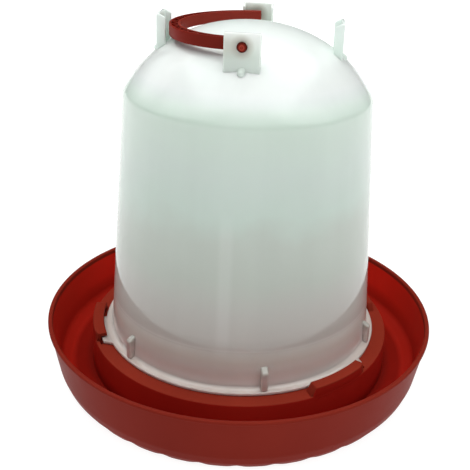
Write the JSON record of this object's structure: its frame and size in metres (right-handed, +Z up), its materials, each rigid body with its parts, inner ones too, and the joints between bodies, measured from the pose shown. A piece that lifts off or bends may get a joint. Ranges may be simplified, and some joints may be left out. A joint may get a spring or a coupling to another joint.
{
  "type": "poultry waterer",
  "caption": "Bell-shaped siphon drinker for poultry: a translucent tank that twist-locks into a round red trough tray, with a folding carrying handle on its crown.",
  "frame": {"origin": "on the floor under the centre of the tray", "axes": "+Z up along the bell's axis; the handle's pivots lie along Y, with -Y towards the viewer of the front; the handle is folded down towards -X"},
  "size_m": [0.36, 0.36, 0.3305],
  "materials": {
    "tray_red": "satin moulded polypropylene, solid red",
    "tank_white": "semi-gloss translucent natural polyethylene",
    "handle_red": "satin moulded polypropylene, solid red"
  },
  "bodies": {
    "tray": {"tray_dish": "tray_red", "tray_foot_ribs": "tray_red", "tray_locking_ring": "tray_red"},
    "bell": {"bell_shell": "tank_white", "bell_flange": "tank_white", "bell_buttresses": "tank_white", "ear_front": "tank_white", "ear_right": "tank_white", "ear_back": "tank_white", "ear_left": "tank_white"},
    "handle": {"handle": "handle_red", "pivot_stud_front": "handle_red", "pivot_stud_back": "handle_red"}
  },
  "joints": [
    {"name": "bell_turn", "type": "hinge", "parent": "tray", "child": "bell", "pos_m": [0, 0, 0.04], "axis": [0, 0, 1], "range_deg": [-6, 41]},
    {"name": "handle_fold", "type": "hinge", "parent": "bell", "child": "handle", "pos_m": [0, 0, 0.3197], "axis": [0, 1, 0], "range_deg": [0, 182]}
  ]
}
